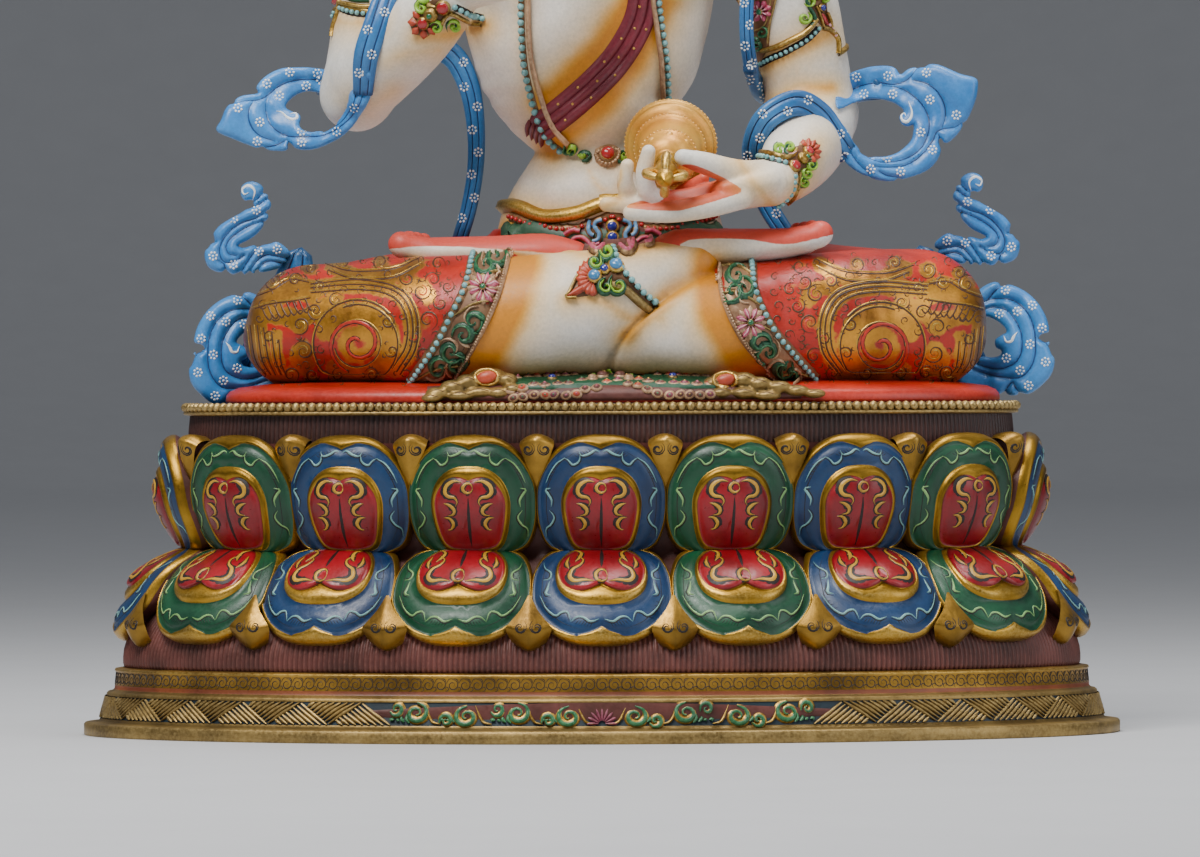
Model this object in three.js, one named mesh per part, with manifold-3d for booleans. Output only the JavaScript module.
// A seated vajrasattva figure on a double lotus base, in cast copper, painted and gilded.
// Millimetres, +Z up. The figure faces -Y, and the origin is under the middle of the base.
// Right and left are the figure's own: its right hand is on the -X side.

import * as THREE from "three";
import { mergeVertices } from "three/addons/utils/BufferGeometryUtils.js";
import Module from "manifold-3d";

const wasm = await Module();
wasm.setup();

// Driving dimensions of the base
const PLAN_INSET = 97; // the base's half depth is its half width less this
const SEAT_HEIGHT = 138; // the flat top that the figure sits on
const GAP = 0.35; // clearance between pieces that touch
const FACE_TOLERANCE = 0.15; // how far a face may move where small ones are merged
const RIM_OUTER = 176.4; // half width at the bead rim
const RIM_INNER = 171.5;
const RIM_TOP = 139;
const BASE_SEGMENTS = 28;

// Half width and height of each edge of the base, from the foot to the flat top
const BASE_TIERS = [
  [217.5, 0], [217.5, 5.3], [211, 5.8], [208, 17.6], [204.5, 18.2], [204, 27.4], [201, 27.8],
  [195, 46], [163, 77], [168, 95], [173.5, 124], [172.5, 134.4],
  [RIM_OUTER, 135.2], [RIM_OUTER, 138.2], [174, RIM_TOP], [RIM_INNER, SEAT_HEIGHT],
];

// Petals stand at these angles to each side of the front, and of the back
const PETAL_ANGLES = [0, 17.05, 35.3, 56.5, 90];

// A row of petals: its ring's half width, the outward profile, the outline and the raised boss
const UPPER_ROW = {
  ring: 184.8,
  profile: [[77, 174], [86, 179], [95, 183], [105, 184.6], [115, 184.4], [126, 183]],
  outline: [[0, 76.5], [20.5, 78.5], [27.2, 98], [21.6, 117], [0, 125.5]],
  boss: [[0, 80], [9.9, 81], [15.5, 97], [12, 109], [0, 113]],
  bossHeight: 4.2,
  sideDrop: 8,
};
const LOWER_ROW = {
  ring: 203,
  profile: [[38, 201], [45, 204], [54, 201], [64, 195], [72, 186], [79, 172]],
  outline: [[0, 79], [21, 76], [28.8, 61], [21, 46], [0, 39.5]],
  boss: [[0, 79.5], [14.6, 77.5], [18.2, 68], [12.6, 59.5], [0, 57.5]],
  bossHeight: 5,
  sideDrop: 9,
};
const SMALL_UPPER = { ring: 176, corners: [[0, 104], [8, 121], [-8, 121]], ridge: 115, rise: 6.5 };
const SMALL_LOWER = { ring: 198, corners: [[0, 60], [10, 42], [-10, 42]], ridge: 46, rise: 5.5 };

// The figure's body: height, centre x, centre y, half width, half depth
const TORSO = [
  [150, 3, 22, 62, 45], [196, 4, 22, 50, 36], [213, 4.6, 21, 47, 33], [226, 4.6, 20, 36, 27],
  [240, 4.4, 20, 30, 24], [255, 0, 19, 34, 25], [280, -5.3, 18, 45.5, 29.5], [309, -5, 17.5, 54, 33],
  [342, -6, 19, 61, 29], [356, -7, 20, 49, 24], [366, -7, 20, 27, 19], [372, -7, 19, 18, 17],
  [402, -7.5, 17, 16.5, 16.5],
];
const HEAD = [
  [397, -8, -1, 10, 12], [402, -8, 6, 20, 21], [412, -8, 10, 27, 28], [425, -8, 13, 31, 32.5],
  [440, -8, 14, 32.5, 34.5], [455, -8, 15, 34, 36.5], [470, -8, 16, 34, 37], [480, -8, 17, 30, 33],
  [488, -8, 17, 21, 23], [493, -8, 17, 15, 15],
];
const TOPKNOT = [
  [500, -8, 17, 17.5, 17.5], [514, -8, 17, 15.5, 15.5], [526, -8, 17, 12, 12],
  [529, -8, 17, 13.5, 13.5], [532, -8, 17, 9, 9], [540, -8, 17, 5.5, 5.5], [550, -8, 17, 0.8, 0.8],
];
const HEAD_AXIS = { x: -8, y: 16 };
const BELT = { from: 209, to: 217.5, rise: 2.4 };
const CROWN_BAND = { from: 457, to: 469, rise: 3.4 };

// Limbs: x, y, z, half width and, where it differs, half thickness at each station
const RIGHT_UPPER_ARM = [[-66, 20, 347, 22], [-84, 18, 334, 21.5], [-92, 14, 306, 19.5],
  [-101, 10, 275, 17.5], [-103, 8, 267, 16.5]];
const RIGHT_FOREARM = [[-103, 8, 269, 17], [-95, -6, 277, 16.8], [-80, -22, 291, 14.6],
  [-68, -33, 302, 11.8], [-59, -40, 309, 9.8]];
const RIGHT_PALM = [[-60, -40, 308.5, 9.6, 9], [-48, -46, 312, 13.5, 8], [-37, -50, 313.5, 15.5, 7],
  [-29, -53, 314, 14, 5]];
const RIGHT_DIGITS = [
  [[-34, -60, 314, 4.4], [-16, -63, 313, 4], [2, -62, 316, 3]],
  [[-33, -53, 314, 4.6], [-14, -55, 313, 4.2], [-6, -55, 321, 3.6], [-6, -55, 330, 3]],
  [[-34, -46, 315, 4.4], [-14, -46, 314, 4], [-7, -47, 322, 3.5], [-8, -48, 331, 2.9]],
  [[-35, -40, 316, 3.9], [-18, -38, 317, 3.5], [-8, -37, 322, 3], [-2, -36, 330, 2.5]],
  [[-46, -58, 317, 5.4], [-36, -65, 324, 4.6], [-26, -64, 332, 4], [-19, -60, 335, 3.3]],
];
const LEFT_UPPER_ARM = [[54, 20, 347, 22], [72, 19, 333, 22], [80, 22, 308, 20.5],
  [86, 27, 280, 19.5], [90, 30, 262, 18.5]];
const LEFT_FOREARM = [[90, 30, 260, 18.5], [88, 14, 252, 18], [84, -6, 243, 15.8],
  [78, -24, 235, 13], [72, -38, 230, 11]];
const LEFT_PALM = [[72, -38, 230, 11, 10], [66, -43, 228, 14, 8], [57, -48, 226.5, 15.5, 7],
  [49, -51, 225, 14, 5]];
const LEFT_DIGITS = [
  [[56, -57, 224, 4.4], [35, -60, 221, 4], [13, -60, 219.5, 3.1]],
  [[54, -49, 225, 4.5], [30, -49, 221, 4.1], [16, -50, 226, 3.6], [11.5, -54, 238, 2.9]],
  [[53, -41, 226, 4.4], [30, -39, 222, 4], [16, -40, 227, 3.5], [14, -43, 240, 2.9]],
  [[54, -35, 226, 3.9], [36, -32, 222, 3.5], [22, -33, 222, 3.1], [13, -34, 229, 2.6]],
  [[64, -50, 231, 5.6], [52, -58, 236, 4.7], [41, -64, 240, 4.1], [32, -67, 243, 3.4]],
];
const RIGHT_THIGH = [[-18, 36, 178, 34], [-50, 28, 175, 33, 31], [-85, 16, 173, 32, 27.5],
  [-108, 6, 172.5, 27, 25.5]];
const RIGHT_SHIN = [[-121, -2, 171, 28.5, 26], [-98, -16, 171.5, 29, 26.5], [-72, -30, 172, 28, 26.8],
  [-45, -40, 173, 26.5, 26], [-20, -45, 176, 24.5], [4.6, -47, 181, 21.5], [20, -46, 188.5, 16],
  [38, -42, 195.5, 11]];
const RIGHT_FOOT = [[18, -38, 201.5, 8.5, 8], [30, -38, 202.5, 11.5, 9.5], [50, -37, 202.6, 11.5, 8],
  [70, -34, 203.6, 12.5, 7], [85, -30, 205.4, 12, 5.5]];
const LEFT_THIGH = [[26, 36, 179, 34], [58, 28, 178, 33, 31], [95, 16, 176, 32, 28.5],
  [118, 8, 175, 28, 27]];
const LEFT_SHIN = [[132, -2, 174, 29.5, 28.5], [110, -16, 173.5, 29, 28], [84, -28, 172.5, 26],
  [50, -42, 170.5, 22.5], [25, -42, 171, 21], [5, -36, 176, 18], [-10, -22, 190, 12.5],
  [-20, -13, 199, 10]];
const LEFT_FOOT = [[-11, -14, 199.8, 8.5, 8], [-23, -13, 201.2, 11.5, 8.6], [-44, -11, 200.8, 11.5, 7.6],
  [-64, -9, 201.2, 12.5, 7], [-77, -8, 202.4, 12, 5.5]];
const LAP = [[-44, 16, 164, 26, 24], [4, 12, 166, 44, 26], [52, 16, 165, 26, 24]];

// The garment over the knees: how proud of the shin, and where along it the hems lie
const HEM_RISE = 1.6;
const BORDER_RISE = 2.8;
const BORDER_SHARE = 0.08;
const RIGHT_HEM = 0.36;
const LEFT_HEM = 0.36;

// The seat cloth spreads under the legs: height, centre x, centre y, half width, half depth
const SEAT_CLOTH = [[130, 5, 0, 161.7, 73], [142.5, 5, 0, 161.7, 73], [147, 5, 2, 152, 64],
  [153, 5, 6, 128, 52]];

// Bell: distance from the mouth along its axis, and radius
const BELL_MOUTH = new THREE.Vector3(29.4, -16, 248);
const BELL_AXIS = new THREE.Vector3(-0.05, -0.965, -0.26).normalize();
const BELL_OUTSIDE = [[0, 19], [2, 19.2], [7, 15.4], [14, 13], [29, 10.8], [33, 8.6], [34.5, 4.6],
  [36.5, 3.2], [38.5, 4.8], [40.5, 4.8], [42.5, 3], [47, 4.6], [50, 3.2], [53, 5.4], [57, 6.6],
  [61, 5.2], [66, 1]];
const BELL_INSIDE = [[-1, 17.8], [6, 14.2], [13, 11.4], [30, 8.2]];

// Vajra: height from its middle, and radius, mirrored to the other end
const VAJRA_MIDDLE = new THREE.Vector3(-17, -51, 346);
const VAJRA_HALF = [[0, 5.2], [3.5, 3.4], [5.2, 5], [6.6, 5], [8, 3.2], [11, 5.6], [15.5, 8.6],
  [20, 7.4], [24.5, 3.6], [28.5, 0.9]];
const VAJRA_LOBES = 4;
const VAJRA_LOBE_DEPTH = 0.2;

// Scarf strands: x, y, z, half width, half thickness
const RIGHT_SHOULDER_STRAND = [[-58, 46, 348, 5.4, 2.4], [-66, 36, 364, 5.2, 2.4],
  [-74, 14, 371.5, 5, 2.4], [-80, -3, 358, 4.8, 2.4], [-84, -13, 334, 4.6, 2.4],
  [-89, -24.5, 309, 4.6, 2.4], [-94, -22.5, 293, 4.5, 2.4], [-99.5, -17, 278, 4.4, 2.4]];
const RIGHT_RING = [[-99.5, -18, 280, 4.3, 2.6], [-101.5, -14, 266, 4.4, 2.8],
  [-105.5, -10, 256, 4.7, 3], [-114.7, -6, 248.7, 5.2, 3], [-125.2, -2, 248.4, 5.6, 3],
  [-134.8, 2, 252.9, 6.3, 3], [-138.2, 6, 262.1, 6.7, 3], [-133.6, 10, 270.5, 5.9, 3],
  [-125.2, 13, 273.5, 5.2, 3], [-115.9, 18, 274, 4.8, 2.8], [-105, 28, 276, 4.8, 2.6],
  [-90, 31, 282, 4.8, 2.6]];
const RIGHT_LEAF = [[-133, 3, 259, 9, 2.6], [-141, 3, 257, 12.4, 2.8], [-150, 2, 256.4, 10.8, 2.6],
  [-156.5, 0, 255.5, 6, 2.2], [-161, -1, 254.4, 1.2, 1]];
const RIGHT_FALL = [[-92, 31, 281, 4.8, 2.6], [-76, 28, 289, 5, 2.6], [-63, 25, 286, 5.2, 2.6],
  [-55.5, 23, 273, 4.6, 2.6], [-52.5, 21, 256, 3.9, 2.6], [-52.6, 20, 238, 3.5, 2.6],
  [-55.4, 20, 221, 3.4, 2.6], [-59.6, 21, 207, 3.3, 2.6]];
const LEFT_SHOULDER_STRAND = [[46, 46, 348, 5.4, 2.4], [54, 36, 364, 5.2, 2.4],
  [62, 14, 371.5, 5, 2.4], [66, -3, 358, 4.6, 2.4], [65, -5.5, 334, 3.6, 2.4],
  [62, -1.5, 309, 3, 2.6], [62, 3, 290, 3, 2.8], [65, 16, 274, 3, 2.8]];
const LEFT_BEHIND_ELBOW = [[63, 8, 280, 3, 2.8], [68, 26, 270, 4, 2.8], [76, 45, 269, 5.2, 2.6],
  [90, 52, 269, 6, 2.6], [103, 44, 269.5, 6.2, 2.6], [110, 30, 270.5, 6.4, 2.8]];
const LEFT_RING = [[108, 34, 270, 6.3, 2.8], [115, 22, 272.2, 7, 3], [125.6, 15, 269.7, 7, 3],
  [134.8, 10, 262.1, 6.7, 3], [138.2, 6, 250.8, 6.3, 3], [134, 3, 241.1, 5.9, 3],
  [123.5, 0, 236.1, 6.1, 3], [110.9, -1, 236.6, 5.7, 3], [102.5, -1, 243, 5.4, 3]];
const LEFT_BAND = [[106, 2, 239.5, 5.2, 3], [99.5, -2, 248.5, 5.2, 3], [92, -5.5, 259, 5.4, 3],
  [82, -11, 263.5, 5.6, 3], [70, -13, 257.5, 5.2, 3], [64.5, -8, 247, 4.8, 3], [65, 0, 236, 4.4, 2.8],
  [70, 6, 222, 4.2, 2.6], [78, 9, 209, 4, 2.6]];
const LEFT_LEAF = [[134, 8, 261, 11, 2.6], [143, 8, 263, 16.6, 2.8], [150, 7, 265, 13.6, 2.6],
  [155.5, 5, 268, 7.4, 2.2], [159, 4, 270, 1.2, 1]];
const BACK_DRAPE = [[-62, 43, 352, 5.2, 2.4], [-44, 49, 340, 5.6, 2.4], [-7, 52.5, 330, 6, 2.4],
  [32, 49, 340, 5.6, 2.4], [50, 43, 352, 5.2, 2.4]];

// The right scarf tail, which the left one mirrors
const TAIL_CURL = [[-152, 15, 224.6, 2.5, 3.4], [-151.2, 15, 228.1, 3.4, 4], [-146.2, 15, 228.4, 4.2, 4.2],
  [-143.6, 16, 222.2, 4.6, 4.4], [-146.6, 16, 215.5, 5, 4.4], [-152.5, 16, 209.6, 5.9, 4.4],
  [-158, 15, 203.5, 6.7, 4.4], [-158.5, 15, 198.5, 5.6, 4]];
const TAIL_SHOULDER = [[-158.3, 15, 199.1, 5.9, 4], [-150.4, 17, 199.1, 5.5, 4.2],
  [-142.4, 19, 202, 5.6, 4.4], [-134.8, 23, 202, 5.8, 4.4], [-129, 27, 195, 6.4, 4.4],
  [-129, 30, 184, 7.4, 4.4]];
const TAIL_BACK = [[-130, 28, 193, 8, 4.4], [-134, 31, 176, 10, 4.4], [-141, 29, 160, 11, 4.4],
  [-148, 25, 145, 11, 4.4]];
const TAIL_ROLL = [[-136, 29, 176, 6, 4.4], [-144, 23, 180, 6, 4.4], [-153, 18, 180.4, 5.8, 4.4],
  [-162, 15, 175, 6, 4.4], [-165.5, 14, 165.5, 6, 4.4], [-163, 14, 156, 6.2, 4.4], [-165, 14, 148.5, 6.2, 4.2],
  [-159, 15, 144.5, 5.6, 4.2], [-149.5, 18, 146, 6, 4.2]];
const LEFT_TAIL_SHIFT = { curl: 6, back: 9, roll: 19.3 };
const LEFT_TAIL_SETBACK = { curl: 7, back: 6, roll: 3 };

const UP = new THREE.Vector3(0, 0, 1);
const BACK = new THREE.Vector3(0, 1, 0);
const ACROSS = new THREE.Vector3(1, 0, 0);

// Solids and their meshes

function solidOf(geometry) {
  const bare = geometry.clone();
  bare.deleteAttribute("normal");
  bare.deleteAttribute("uv");
  const merged = mergeVertices(bare, 1e-4);
  return new wasm.Manifold(new wasm.Mesh({
    numProp: 3,
    vertProperties: Float32Array.from(merged.attributes.position.array),
    triVerts: Uint32Array.from(merged.index.array),
  }));
}

function meshOf(name, solid, material) {
  const { vertProperties, triVerts } = solid.getMesh();
  const geometry = new THREE.BufferGeometry();
  geometry.setAttribute("position", new THREE.BufferAttribute(Float32Array.from(vertProperties), 3));
  geometry.setIndex(new THREE.BufferAttribute(Uint32Array.from(triVerts), 1));
  geometry.computeVertexNormals();
  const mesh = new THREE.Mesh(geometry, material);
  mesh.name = name;
  return mesh;
}

function fuse(solids) {
  return solids.reduce((whole, solid) => whole.add(solid));
}

// Joining leaves many small faces. This takes out each point whose loss, onto a neighbour,
// moves no face round it by more than the tolerance.
function withoutSlivers(solid, tolerance) {
  const { vertProperties, triVerts } = solid.getMesh();
  const points = Array.from({ length: vertProperties.length / 3 }, (unused, at) => (
    new THREE.Vector3().fromArray(vertProperties, 3 * at)
  ));
  const faces = Array.from({ length: triVerts.length / 3 }, (unused, at) => (
    Array.from(triVerts.slice(3 * at, 3 * at + 3))
  ));
  const facesAt = points.map(() => new Set());
  faces.forEach((face, at) => face.forEach((corner) => facesAt[corner].add(at)));
  const neighboursOf = (point) => {
    const corners = [...facesAt[point]].flatMap((at) => faces[at]);
    return new Set(corners.filter((corner) => corner !== point));
  };
  const normalOf = ([a, b, c]) => (
    points[b].clone().sub(points[a]).cross(points[c].clone().sub(points[a]))
  );
  const KEEPS_FACING = 0.7;
  const SMALLEST = 1e-3;
  const costOf = (gone, kept) => {
    const move = points[kept].clone().sub(points[gone]);
    let worst = 0;
    for (const at of facesAt[gone]) {
      const before = normalOf(faces[at]).normalize();
      worst = Math.max(worst, Math.abs(before.dot(move)));
      if (!faces[at].includes(kept)) {
        const after = normalOf(faces[at].map((corner) => (corner === gone ? kept : corner)));
        const area = after.length();
        if (area < SMALLEST || after.dot(before) < KEEPS_FACING * area) {
          return Infinity;
        }
      }
    }
    return worst;
  };
  const mayJoin = (gone, kept) => {
    const shared = [...neighboursOf(gone)].filter((corner) => neighboursOf(kept).has(corner));
    return shared.length === 2;
  };
  const join = (gone, kept) => {
    for (const at of facesAt[gone]) {
      if (faces[at].includes(kept)) {
        faces[at].forEach((corner) => corner !== gone && facesAt[corner].delete(at));
        faces[at] = null;
      } else {
        faces[at] = faces[at].map((corner) => (corner === gone ? kept : corner));
        facesAt[kept].add(at);
      }
    }
    facesAt[gone].clear();
  };
  let joined = 1;
  while (joined > 0) {
    joined = 0;
    for (let gone = 0; gone < points.length; gone += 1) {
      const choices = [...neighboursOf(gone)]
        .map((kept) => [costOf(gone, kept), kept])
        .filter(([cost, kept]) => cost <= tolerance && mayJoin(gone, kept))
        .sort(([low], [high]) => low - high);
      if (choices.length > 0) {
        join(gone, choices[0][1]);
        joined += 1;
      }
    }
  }
  const geometry = new THREE.BufferGeometry();
  geometry.setAttribute("position", new THREE.Float32BufferAttribute(points.flatMap((p) => p.toArray()), 3));
  geometry.setIndex(faces.filter(Boolean).flat());
  return solidOf(geometry.toNonIndexed());
}

function signedVolume(points, faces) {
  const corner = new THREE.Vector3();
  return faces.reduce((sum, [a, b, c]) => sum + points[a].dot(corner.crossVectors(points[b], points[c])), 0);
}

// A closed skin over rings of points, with a fan over each end that meets at an apex
function skin(rings, firstApex, lastApex) {
  const count = rings[0].length;
  const points = [...rings.flat(), firstApex, lastApex];
  const first = points.length - 2;
  const last = points.length - 1;
  const top = (rings.length - 1) * count;
  const faces = [];
  for (let at = 0; at < count; at += 1) {
    const next = (at + 1) % count;
    for (let row = 0; row < top; row += count) {
      faces.push([row + at, row + next, row + count + next]);
      faces.push([row + at, row + count + next, row + count + at]);
    }
    faces.push([first, next, at]);
    faces.push([last, top + at, top + next]);
  }
  if (signedVolume(points, faces) < 0) {
    faces.forEach((face) => face.reverse());
  }
  const geometry = new THREE.BufferGeometry();
  geometry.setAttribute("position", new THREE.Float32BufferAttribute(points.flatMap((p) => p.toArray()), 3));
  geometry.setIndex(faces.flat());
  return solidOf(geometry);
}

function middleOf(ring) {
  const sum = ring.reduce((total, point) => total.add(point), new THREE.Vector3());
  return sum.divideScalar(ring.length);
}

// An oval ring round a centre, in the plane of two unit directions.
// With four sides it is a rectangle whose sides lie a little inside the oval's reach.
function oval(centre, first, second, firstRadius, secondRadius, sides) {
  const RECTANGLE_REACH = 1.28;
  const square = sides === 4;
  const reach = square ? RECTANGLE_REACH : 1;
  return Array.from({ length: sides }, (unused, at) => {
    const angle = (2 * Math.PI * (at + (square ? 0.5 : 0))) / sides;
    return centre.clone()
      .addScaledVector(first, reach * firstRadius * Math.cos(angle))
      .addScaledVector(second, reach * secondRadius * Math.sin(angle));
  });
}

function curveOf(stations, pick) {
  return new THREE.CatmullRomCurve3(stations.map(pick), false, "catmullrom", 0.5);
}

// A limb, digit or strand: ovals along a curve, with rounded ends.
// Its thickness points along "up", or its width along "side" where that is given.
// A collar is a stretch of it, as shares of its length, that stands proud of the rest.
function limb(stations, { sides = 10, steps = 8, up = UP, side = null, grow = 0, collars = [] } = {}) {
  const path = curveOf(stations, ([x, y, z]) => new THREE.Vector3(x, y, z));
  const sizes = curveOf(stations, ([, , , wide, thick]) => new THREE.Vector3(wide, thick ?? wide, 0));
  const END_STEP = 0.55;
  const END_SHRINK = 0.8;
  const END_REACH = 0.9;
  const CLEAR_OF_EDGE = 0.04;
  const rings = [];
  const addRing = (centre, along, size, scale) => {
    const across = side ? side.clone() : new THREE.Vector3().crossVectors(along, up);
    across.addScaledVector(along, -across.dot(along)).normalize();
    const thickness = new THREE.Vector3().crossVectors(across, along).normalize();
    const wide = (size.x + grow) * scale;
    const thick = (size.y + grow) * scale;
    rings.push(oval(centre, across, thickness, wide, thick, sides));
  };
  const alongPath = (t, reach) => {
    const least = Math.min(sizes.getPoint(t).x, sizes.getPoint(t).y) + grow;
    return path.getPoint(t).addScaledVector(path.getTangent(t), reach * least);
  };
  const riseWithin = (low, high) => Math.max(0, ...collars
    .filter(({ from, to }) => from <= low && to >= high)
    .map(({ rise }) => rise));
  const evenShares = Array.from({ length: steps + 1 }, (unused, step) => step / steps);
  const edges = collars.flatMap(({ from, to }) => [from, to]).filter((t) => t > 0 && t < 1);
  const clearOfEdges = (t) => edges.every((edge) => Math.abs(edge - t) > CLEAR_OF_EDGE);
  const shares = [...evenShares.filter(clearOfEdges), ...edges].sort((low, high) => low - high);
  const addLifted = (t, rise) => {
    const size = sizes.getPoint(t).addScalar(rise);
    addRing(path.getPoint(t), path.getTangent(t), size, 1);
  };
  addRing(alongPath(0, -END_STEP), path.getTangent(0), sizes.getPoint(0), END_SHRINK);
  shares.forEach((t, at) => {
    const before = at > 0 ? riseWithin(shares[at - 1], t) : riseWithin(t, t);
    const after = at < shares.length - 1 ? riseWithin(t, shares[at + 1]) : before;
    addLifted(t, before);
    if (before !== after) {
      addLifted(t, after);
    }
  });
  addRing(alongPath(1, END_STEP), path.getTangent(1), sizes.getPoint(1), END_SHRINK);
  return skin(rings, alongPath(0, -END_REACH), alongPath(1, END_REACH));
}

// A stack of level ovals: height, centre x, centre y, half width, half depth
function stack(levels, { sides = 16, grow = 0 } = {}) {
  const rings = levels.map(([z, x, y, wide, deep]) => (
    oval(new THREE.Vector3(x, y, z), ACROSS, BACK, wide + grow, deep + grow, sides)
  ));
  return skin(rings, middleOf(rings[0]), middleOf(rings[rings.length - 1]));
}

// The same stack with a band round it, from one height to another
function banded(levels, from, to, rise) {
  const levelAt = (z, more) => [z, ...[1, 2].map((column) => between(levels, z, column)),
    ...[3, 4].map((column) => between(levels, z, column) + more)];
  return [
    ...levels.filter(([z]) => z < from),
    levelAt(from, 0), levelAt(from, rise), levelAt(to, rise), levelAt(to, 0),
    ...levels.filter(([z]) => z > to),
  ];
}

function ball([x, y, z], [wide, deep, high], { sides = 8, bands = 6, grow = 0 } = {}) {
  const geometry = new THREE.SphereGeometry(1, sides, bands);
  geometry.rotateX(Math.PI / 2);
  geometry.scale(wide + grow, deep + grow, high + grow);
  geometry.translate(x, y, z);
  return solidOf(geometry);
}

function turned(profile, axis, origin, sides) {
  const points = profile.map(([along, radius]) => new THREE.Vector2(radius, along));
  const ends = [new THREE.Vector2(0, profile[0][0]), new THREE.Vector2(0, profile[profile.length - 1][0])];
  const geometry = new THREE.LatheGeometry([ends[0], ...points, ends[1]], sides);
  geometry.applyQuaternion(new THREE.Quaternion().setFromUnitVectors(BACK, axis));
  geometry.translate(origin.x, origin.y, origin.z);
  const solid = solidOf(geometry);
  return solid.volume() > 0 ? solid : solidOf(turnedInsideOut(geometry));
}

function turnedInsideOut(geometry) {
  const flipped = geometry.clone();
  const order = Array.from(flipped.index.array).reverse();
  flipped.setIndex(order);
  return flipped;
}

function blockUnder(height) {
  const DEEP = 200;
  const geometry = new THREE.BoxGeometry(600, 400, DEEP);
  geometry.translate(0, 0, height - DEEP / 2);
  return solidOf(geometry);
}

// The value of a list of [key, value, ...] rows at a key between them
function between(rows, key, column) {
  const last = rows.length - 2;
  const at = Math.min(Math.max(rows.findIndex((row) => row[0] > key) - 1, 0), last);
  const row = rows[last + 1][0] <= key ? last : at;
  const share = THREE.MathUtils.clamp((key - rows[row][0]) / (rows[row + 1][0] - rows[row][0]), 0, 1);
  return THREE.MathUtils.lerp(rows[row][column], rows[row + 1][column], share);
}

// How far forward the limbs reach at a place seen from the front
function frontOf(x, z, limbs) {
  const SAMPLES = 24;
  let front = Infinity;
  limbs.forEach((stations) => {
    const path = curveOf(stations, (station) => new THREE.Vector3(...station));
    const sizes = curveOf(stations, ([, , , radius]) => new THREE.Vector3(radius, 0, 0));
    for (let at = 0; at <= SAMPLES; at += 1) {
      const centre = path.getPoint(at / SAMPLES);
      const room = sizes.getPoint(at / SAMPLES).x ** 2 - (centre.x - x) ** 2 - (centre.z - z) ** 2;
      front = room > 0 ? Math.min(front, centre.y - Math.sqrt(room)) : front;
    }
  });
  return front;
}

// Brings a strand forward wherever it would run into the front of a limb
function drapedOver(stations, limbs) {
  const LIFT = 2.2;
  const BEHIND = 22; // a station this far behind a limb's front passes behind the limb
  return stations.map(([x, y, z, ...sizes]) => {
    const front = frontOf(x, z, limbs) - LIFT;
    return [x, y - front > BEHIND ? y : Math.min(y, front), z, ...sizes];
  });
}

// Lotus base

function planPoint(halfWidth, angle, height) {
  return new THREE.Vector3(
    halfWidth * Math.sin(angle),
    -(halfWidth - PLAN_INSET) * Math.cos(angle),
    height,
  );
}

function tiers(levels) {
  const rings = levels.map(([halfWidth, height]) => (
    Array.from({ length: BASE_SEGMENTS }, (unused, at) => (
      planPoint(halfWidth, (2 * Math.PI * at) / BASE_SEGMENTS, height)
    ))
  ));
  const centres = [0, levels.length - 1].map((at) => new THREE.Vector3(0, 0, levels[at][1]));
  return skin(rings, centres[0], centres[1]);
}

// Points given for one half, closed by their mirror image: both ends lie on the middle line
function mirrored(half) {
  const inner = half.slice(1, -1);
  return [...half, ...inner.reverse().map(([s, z]) => [-s, z])];
}

// Places a petal's sideways, outward and upward sizes on a ring of the base at an angle
function petalPlacer(ring, angle) {
  const depth = ring - PLAN_INSET;
  const outward = new THREE.Vector3(Math.sin(angle) / ring, -Math.cos(angle) / depth, 0).normalize();
  const sideways = new THREE.Vector3(ring * Math.cos(angle), depth * Math.sin(angle), 0).normalize();
  return (s, out, z) => planPoint(ring, angle, z)
    .addScaledVector(sideways, s)
    .addScaledVector(outward, out);
}

function petal(row, angle) {
  const ROOT_DEPTH = 24;
  const ROOT_WIDTH_SHARE = 0.6;
  const ROOT_HEIGHT_SHARE = 0.8;
  const BOSS_EDGE_LIFT = 1;
  const BOSS_TOP_SHARE = 0.6;
  const APEX_LIFT = 0.8;
  const place = petalPlacer(row.ring, angle);
  const widest = Math.max(...row.outline.map(([s]) => s));
  const face = (s, z) => (
    between(row.profile, z, 1) - row.ring - row.sideDrop * (s / widest) ** 2
  );
  const outline = mirrored(row.outline);
  const boss = mirrored(row.boss);
  const bossMiddle = (row.boss[0][1] + row.boss[row.boss.length - 1][1]) / 2;
  const towardsMiddle = (z, share) => THREE.MathUtils.lerp(bossMiddle, z, share);
  const bossTop = boss.map(([s, z]) => [s * BOSS_TOP_SHARE, towardsMiddle(z, BOSS_TOP_SHARE)]);
  const rings = [
    outline.map(([s, z]) => place(s * ROOT_WIDTH_SHARE, -ROOT_DEPTH, towardsMiddle(z, ROOT_HEIGHT_SHARE))),
    outline.map(([s, z]) => place(s, face(s, z), z)),
    boss.map(([s, z]) => place(s, face(s, z) + BOSS_EDGE_LIFT, z)),
    bossTop.map(([s, z]) => place(s, face(s, z) + row.bossHeight, z)),
  ];
  const apex = place(0, face(0, bossMiddle) + row.bossHeight + APEX_LIFT, bossMiddle);
  return skin(rings, middleOf(rings[0]), apex);
}

// A small three-cornered petal with a ridge down its middle, between two large ones
function smallPetal(shape, angle) {
  const ROOT_OUT = -14;
  const EDGE_OUT = 1;
  const place = petalPlacer(shape.ring, angle);
  const rings = [ROOT_OUT, EDGE_OUT].map((out) => shape.corners.map(([s, z]) => place(s, out, z)));
  return skin(rings, middleOf(rings[0]), place(0, shape.rise, shape.ridge));
}

function roundTheBase(halfAngles) {
  const turns = halfAngles.flatMap((angle) => [angle, -angle, 180 - angle, angle - 180]);
  const unique = [...new Set(turns.map((angle) => (angle + 360) % 360))];
  return unique.map(THREE.MathUtils.degToRad);
}

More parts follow.
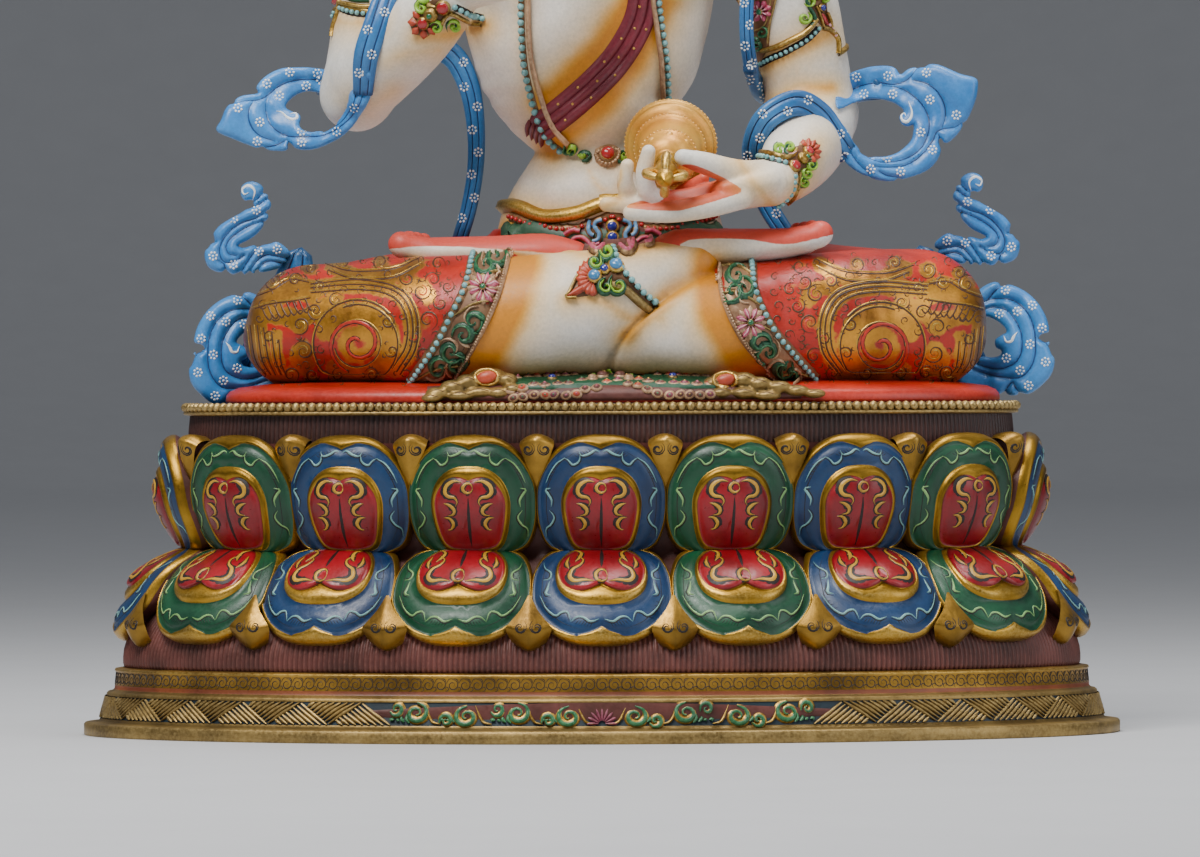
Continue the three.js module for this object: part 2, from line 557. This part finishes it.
function makeBase() {
  const middles = PETAL_ANGLES.slice(1).map((angle, at) => (angle + PETAL_ANGLES[at]) / 2);
  const large = roundTheBase(PETAL_ANGLES);
  const small = roundTheBase(middles);
  const base = fuse([
    tiers(BASE_TIERS),
    ...small.map((angle) => smallPetal(SMALL_UPPER, angle)),
    ...small.map((angle) => smallPetal(SMALL_LOWER, angle)),
    ...large.map((angle) => petal(UPPER_ROW, angle)),
    ...large.map((angle) => petal(LOWER_ROW, angle)),
  ]);
  return base.subtract(blockUnder(0));
}

// Figure

// A point on the front or back of the torso, lifted off its surface
function onTorso(x, z, lift, behind = false) {
  const middleX = between(TORSO, z, 1);
  const middleY = between(TORSO, z, 2);
  const share = THREE.MathUtils.clamp((x - middleX) / between(TORSO, z, 3), -0.98, 0.98);
  const depth = (between(TORSO, z, 4) * Math.sqrt(1 - share * share) + lift) * (behind ? 1 : -1);
  return [x, middleY + depth, z];
}

function torsoStrand(route, wide, thick, lift, grow, behind = false) {
  const stations = route.map(([x, z]) => [...onTorso(x, z, lift, behind), wide, thick]);
  return limb(stations, { sides: 4, steps: route.length, up: BACK, grow });
}

// Armlets and bracelets: shares of the arm's length that stand proud of it
const ARMLET = { from: 0.46, to: 0.56, rise: 2.2 };
const BRACELET = { from: 0.84, to: 0.93, rise: 2 };

function makeArms(grow) {
  const armWith = (collar) => ({ sides: 7, steps: 3, grow, collars: [collar] });
  const palmShape = { sides: 6, steps: 2, grow };
  const digitShape = { sides: 4, steps: 3, grow };
  return [
    ...[RIGHT_UPPER_ARM, LEFT_UPPER_ARM].map((arm) => limb(arm, armWith(ARMLET))),
    ...[RIGHT_FOREARM, LEFT_FOREARM].map((arm) => limb(arm, armWith(BRACELET))),
    ...[RIGHT_PALM, LEFT_PALM].map((palm) => limb(palm, palmShape)),
    ...[...RIGHT_DIGITS, ...LEFT_DIGITS].map((digit) => limb(digit, digitShape)),
  ];
}

// Five toes side by side at the end of a foot, the big toe in front
function toes(foot, grow) {
  const [x, y, z, wide] = foot[foot.length - 1];
  const outward = Math.sign(x);
  const TOE_RADII = [5, 3.9, 3.7, 3.4, 3];
  const TOE_REACH = [9, 8.5, 7.5, 6, 4];
  const TOE_ROOT = 6;
  const TOE_PITCH = 5;
  const FIRST_TOE_INSET = 4;
  const TOE_LIFT = 1;
  return TOE_RADII.map((radius, at) => {
    const sideways = y - wide + FIRST_TOE_INSET + at * TOE_PITCH;
    const long = (TOE_REACH[at] + TOE_ROOT) / 2;
    const middle = x + outward * (TOE_REACH[at] - long);
    return ball([middle, sideways, z + TOE_LIFT], [long, radius, radius], { sides: 5, bands: 3, grow });
  });
}

// The garment covers each knee and stands proud of the shin, with a raised border at its hem
function garment(hem) {
  return [{ from: 0, to: hem, rise: HEM_RISE }, { from: hem - BORDER_SHARE, to: hem, rise: BORDER_RISE }];
}

function makeLegs(grow) {
  const shinWith = (hem) => ({ sides: 9, steps: 6, grow, collars: garment(hem) });
  const footShape = { sides: 6, steps: 3, grow };
  return [
    ...[RIGHT_THIGH, LEFT_THIGH].map((thigh) => limb(thigh, { sides: 9, steps: 3, grow })),
    limb(RIGHT_SHIN, shinWith(RIGHT_HEM)),
    limb(LEFT_SHIN, shinWith(LEFT_HEM)),
    ...[RIGHT_FOOT, LEFT_FOOT].map((foot) => limb(foot, footShape)),
    ...toes(RIGHT_FOOT, grow),
    ...toes(LEFT_FOOT, grow),
    limb(LAP, { sides: 8, steps: 2, grow }),
  ];
}

// The seat cloth and the scalloped border of its front edge
function makeSeatCloth(grow) {
  const SCALLOPS = 7;
  const HALF_SPREAD = 74;
  const SCALLOP_HEIGHT = 143.5;
  const SCALLOP_SIZE = [13, 5.5, 4.5];
  const BOSS_SIZE = [9, 7, 6];
  const [, middle, , halfWidth, halfDepth] = SEAT_CLOTH[1];
  const border = Array.from({ length: SCALLOPS }, (unused, at) => {
    const aside = HALF_SPREAD * ((2 * at) / (SCALLOPS - 1) - 1);
    const share = aside / halfWidth;
    const y = -(halfDepth - SCALLOP_SIZE[1]) * Math.sqrt(1 - share * share);
    return ball([middle + aside, y, SCALLOP_HEIGHT], SCALLOP_SIZE, { sides: 5, bands: 3, grow });
  });
  const bosses = [-47, 55].map((x) => ball([x, -62, 148], BOSS_SIZE, { sides: 6, bands: 3, grow }));
  return [stack(SEAT_CLOTH, { sides: 24, grow }), ...border, ...bosses];
}

// Sash and necklace lie on the torso, and a jewel hangs at the belt
function makeTorsoOrnaments(grow) {
  const SASH_ROUTE = [[42, 350], [34, 330], [20, 307], [2, 283], [-14, 265], [-29, 251]];
  const RIGHT_STRAND = [[-30, 352], [-35, 330], [-33.6, 307], [-31, 280], [-22, 252], [-9, 245], [3, 242.4]];
  const LEFT_STRAND = [[16, 352], [23, 330], [25, 307], [28, 275], [24, 252], [13, 245], [3, 242.4]];
  const PENDANT = { x: 3, z: 242.4, size: [6, 2.6, 6] };
  const CLASP = { x: 4.6, z: 208, size: [13, 4.5, 8] };
  const onFront = ({ x, z, size }) => ball([x, onTorso(x, z, 1)[1], z], size, { sides: 6, bands: 4, grow });
  return [
    torsoStrand(SASH_ROUTE, 7.2, 1.8, 0.4, grow),
    torsoStrand(RIGHT_STRAND, 2.2, 1.8, 0.6, grow),
    torsoStrand(LEFT_STRAND, 2.2, 1.8, 0.6, grow),
    onFront(PENDANT),
    onFront(CLASP),
  ];
}

// Five leaves stand on the crown's band
function makeCrownLeaves(grow) {
  const LEAF_ANGLES = [0, 38, -38, 76, -76];
  const FOOT_OVAL = { wide: 36.5, deep: 39 };
  return LEAF_ANGLES.map((degrees) => {
    const angle = THREE.MathUtils.degToRad(degrees);
    const outward = new THREE.Vector3(Math.sin(angle), -Math.cos(angle), 0);
    const foot = new THREE.Vector3(
      HEAD_AXIS.x + FOOT_OVAL.wide * Math.sin(angle),
      HEAD_AXIS.y - FOOT_OVAL.deep * Math.cos(angle),
      464,
    );
    const stations = [[0, 0, 9, 2.4], [1, 14, 11.5, 2.2], [3, 30, 7, 1.8], [6, 43, 1.2, 1]];
    const route = stations.map(([out, high, wide, thick]) => (
      [...foot.clone().addScaledVector(outward, out).addScaledVector(UP, high).toArray(), wide, thick]
    ));
    return limb(route, { sides: 4, steps: 3, up: outward, grow });
  });
}

function makeHead(grow) {
  const [x, y] = [HEAD_AXIS.x, HEAD_AXIS.y];
  const EAR = { aside: 33.5, z: 431, size: [3.2, 6.5, 16] };
  const EARRING = { aside: 34.5, z: 413, size: [3.8, 7, 8] };
  const NOSE = [[x, -19.5, 447, 2, 2], [x, -23.5, 434, 2.6, 3], [x, -25, 428.5, 4.2, 3]];
  const BACK_HAIR = [[x, 36, 462, 27, 16], [x, 42, 425, 30, 13], [x, 46, 390, 26, 10],
    [x, 50, 358, 15, 5]];
  const SIDE_LOCK = [[27, 26, 420, 6, 6], [36, 26, 392, 6, 5], [46, 16, 372, 5, 4],
    [50, 2, 352, 2.5, 2.5]];
  const bothSides = (make) => [-1, 1].map(make);
  const atEar = ({ aside, z, size }) => bothSides((side) => (
    ball([x + side * aside, y, z], size, { sides: 6, bands: 4, grow })
  ));
  const locks = bothSides((side) => SIDE_LOCK.map(([aside, ...rest]) => [x + side * aside, ...rest]));
  const levels = banded([...HEAD, ...TOPKNOT], CROWN_BAND.from, CROWN_BAND.to, CROWN_BAND.rise);
  return [
    stack(levels, { sides: 10, grow }),
    limb(NOSE, { sides: 4, steps: 2, grow }),
    ...atEar(EAR),
    ...atEar(EARRING),
    limb(BACK_HAIR, { sides: 7, steps: 3, up: BACK, grow }),
    ...locks.map((lock) => limb(lock, { sides: 4, steps: 3, grow })),
    ...makeCrownLeaves(grow),
  ];
}

function makeFigure(grow) {
  return fuse([
    stack(banded(TORSO, BELT.from, BELT.to, BELT.rise), { sides: 12, grow }),
    ...makeTorsoOrnaments(grow),
    ...makeArms(grow),
    ...makeLegs(grow),
    ...makeSeatCloth(grow),
    ...makeHead(grow),
  ]);
}

// Bell and vajra

function makeBell(grow) {
  const outside = BELL_OUTSIDE.map(([along, radius]) => [along, radius + grow]);
  return turned(outside, BELL_AXIS, BELL_MOUTH, 12);
}

function hollowedBell() {
  return makeBell(0).subtract(turned(BELL_INSIDE, BELL_AXIS, BELL_MOUTH, 12));
}

// The vajra's ends swell into curved prongs, which show as lobes round its axis
function makeVajra(grow) {
  const SIDES = 12;
  const LOBES_START = 9;
  const lower = VAJRA_HALF.slice(1).reverse().map(([high, radius]) => [-high, radius]);
  const levels = [...lower, ...VAJRA_HALF];
  const rings = levels.map(([high, radius]) => (
    Array.from({ length: SIDES }, (unused, at) => {
      const angle = (2 * Math.PI * at) / SIDES;
      const lobed = Math.abs(high) > LOBES_START ? VAJRA_LOBE_DEPTH : 0;
      const reach = radius * (1 - lobed * (1 - Math.cos(VAJRA_LOBES * angle)) / 2) + grow;
      return VAJRA_MIDDLE.clone().add(new THREE.Vector3(
        reach * Math.cos(angle),
        reach * Math.sin(angle),
        high,
      ));
    })
  ));
  return skin(rings, middleOf(rings[0]), middleOf(rings[rings.length - 1]));
}

// Scarf and its tails

function strand(stations, steps, extra = {}) {
  return limb(stations, { sides: 4, steps, up: BACK, ...extra });
}

function makeScarf() {
  const rightArm = [RIGHT_UPPER_ARM, RIGHT_FOREARM];
  const leftArm = [LEFT_UPPER_ARM, LEFT_FOREARM];
  return fuse([
    strand(BACK_DRAPE, 6),
    strand(drapedOver(RIGHT_SHOULDER_STRAND, rightArm), 10, { side: ACROSS }),
    strand(drapedOver(RIGHT_RING, rightArm), 14),
    strand(RIGHT_LEAF, 4),
    strand(RIGHT_FALL, 8),
    strand(LEFT_SHOULDER_STRAND, 9, { side: ACROSS }),
    strand(LEFT_BEHIND_ELBOW, 6, { side: UP }),
    strand(LEFT_RING, 11),
    strand(drapedOver(LEFT_BAND, leftArm), 10),
    strand(LEFT_LEAF, 4),
  ]);
}

function makeTail(mirror) {
  const moved = (stations, part) => stations.map(([x, y, z, wide, thick]) => (
    mirror ? [LEFT_TAIL_SHIFT[part] - x, y + LEFT_TAIL_SETBACK[part], z, wide, thick] : [x, y, z, wide, thick]
  ));
  return fuse([
    strand(moved(TAIL_CURL, "curl"), 11),
    strand(moved(TAIL_SHOULDER, "curl"), 7),
    strand(moved(TAIL_BACK, "back"), 3),
    strand(moved(TAIL_ROLL, "roll"), 11),
  ]);
}

// What the tails and the figure keep clear of: the flat top and the bead rim round it
function baseTopWithGap() {
  const rim = tiers([[RIM_OUTER + GAP, 100], [RIM_OUTER + GAP, RIM_TOP + GAP]]);
  const inside = tiers([[RIM_INNER - GAP, 90], [RIM_INNER - GAP, 200]]);
  return blockUnder(SEAT_HEIGHT + GAP).add(rim.subtract(inside));
}

function largestPart(solid) {
  const parts = solid.decompose();
  return parts.reduce((best, part) => (part.volume() > best.volume() ? part : best));
}

const MATERIALS = {
  base: { color: 0x6b3a2e, roughness: 0.5, metalness: 0.3 },
  figure: { color: 0xe9e4dc, roughness: 0.45, metalness: 0.05 },
  gold: { color: 0xd9a441, roughness: 0.35, metalness: 0.9 },
  scarf: { color: 0x4f8fcd, roughness: 0.45, metalness: 0.05 },
};

function finish(kind) {
  return new THREE.MeshStandardMaterial(MATERIALS[kind]);
}

const top = baseTopWithGap();
const figureWithGap = makeFigure(GAP);
const handsFreeOf = makeBell(GAP).add(makeVajra(GAP));
const figureSolid = withoutSlivers(makeFigure(0), FACE_TOLERANCE).subtract(handsFreeOf).subtract(top);
const scarfSolid = makeScarf().subtract(figureWithGap).subtract(makeBell(GAP));
const tailSolid = (mirror) => makeTail(mirror).subtract(figureWithGap).subtract(top);
const tidied = (solid) => largestPart(withoutSlivers(solid, FACE_TOLERANCE));

const statue = new THREE.Group();
statue.name = "vajrasattva";
statue.add(meshOf("lotus_base", tidied(makeBase()), finish("base")));
statue.add(meshOf("figure", largestPart(figureSolid), finish("figure")));
statue.add(meshOf("bell", hollowedBell(), finish("gold")));
statue.add(meshOf("vajra", makeVajra(0), finish("gold")));
statue.add(meshOf("scarf", tidied(scarfSolid), finish("scarf")));
statue.add(meshOf("scarf_tail_right", tidied(tailSolid(false)), finish("scarf")));
statue.add(meshOf("scarf_tail_left", tidied(tailSolid(true)), finish("scarf")));

export default statue;
